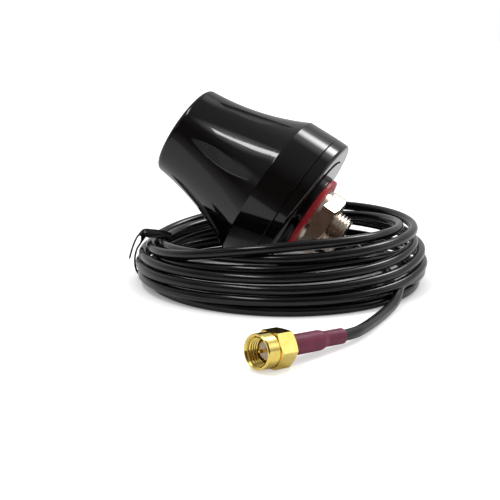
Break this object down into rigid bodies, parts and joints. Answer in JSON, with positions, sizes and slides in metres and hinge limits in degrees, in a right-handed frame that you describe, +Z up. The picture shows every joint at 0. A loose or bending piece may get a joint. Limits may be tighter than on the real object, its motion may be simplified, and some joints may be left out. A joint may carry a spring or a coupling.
{
  "type": "outdoor antenna",
  "caption": "Outdoor panel antenna with a bell-shaped radome, threaded mounting stud with seal, washer and nut, a tied coil of thin coaxial cable and a screw-on coaxial plug.",
  "frame": {"origin": "on the floor under the middle of the housing's bounding box, the cable and plug left out", "axes": "+Z up; +X along the floor from the radome towards the stud; the antenna's axis lies in the XZ plane, 32.3 degrees from the floor; the plug lies towards -Y"},
  "size_m": [0.0849, 0.1294, 0.0534],
  "materials": {
    "black_gloss": "gloss",
    "black_rubber": "matte",
    "red_silicone": "satin",
    "nickel": "polished",
    "tinned_plate": "satin",
    "board_green": "satin",
    "copper": "satin",
    "solder": "satin",
    "cable_black": "satin",
    "tie_black": "satin",
    "maroon_sleeve": "satin",
    "gold": "polished",
    "ptfe": "satin"
  },
  "bodies": {
    "root": {"radome": "black_gloss", "base_cover": "black_gloss", "cover_seal": "black_rubber", "threaded_stud": "nickel", "panel_gasket": "red_silicone", "cable_bush": "black_rubber", "ground_plate": "tinned_plate", "antenna_board": "board_green", "board_radiator": "copper", "solder_joints": "solder", "cable_tail": "cable_black", "cable_exit": "cable_black", "cable_coil": "cable_black", "twist_tie": "tie_black", "cable_lead": "cable_black", "cable_plug_end": "cable_black", "heat_shrink_sleeve": "maroon_sleeve", "crimp_ferrule": "gold", "plug_body": "gold", "plug_retaining_ring": "gold", "plug_gasket": "red_silicone", "plug_dielectric": "ptfe", "plug_pin": "gold"},
    "washer": {"washer": "nickel"},
    "nut": {"mounting_nut": "nickel"},
    "coupling": {"plug_coupling_nut": "gold"}
  },
  "joints": [
    {"name": "washer_slide", "type": "slide", "parent": "root", "child": "washer", "axis": [0.8453, 0, -0.5344], "range_m": [0, 0.006]},
    {"name": "nut_turn", "type": "hinge", "parent": "washer", "child": "nut", "pos_m": [0.02041, 0, 0.01559], "axis": [0.8453, 0, -0.5344], "range_deg": [0, 2161]},
    {"name": "coupling_spin", "type": "hinge", "parent": "root", "child": "coupling", "pos_m": [0.02597, -0.09122, 0.00467], "axis": [0.4848, 0.8711, -0.0785], "continuous": true}
  ],
  "couplings": [
    {"joint": "nut_turn", "follows": "washer_slide", "rad_per_m": 6283.2}
  ]
}
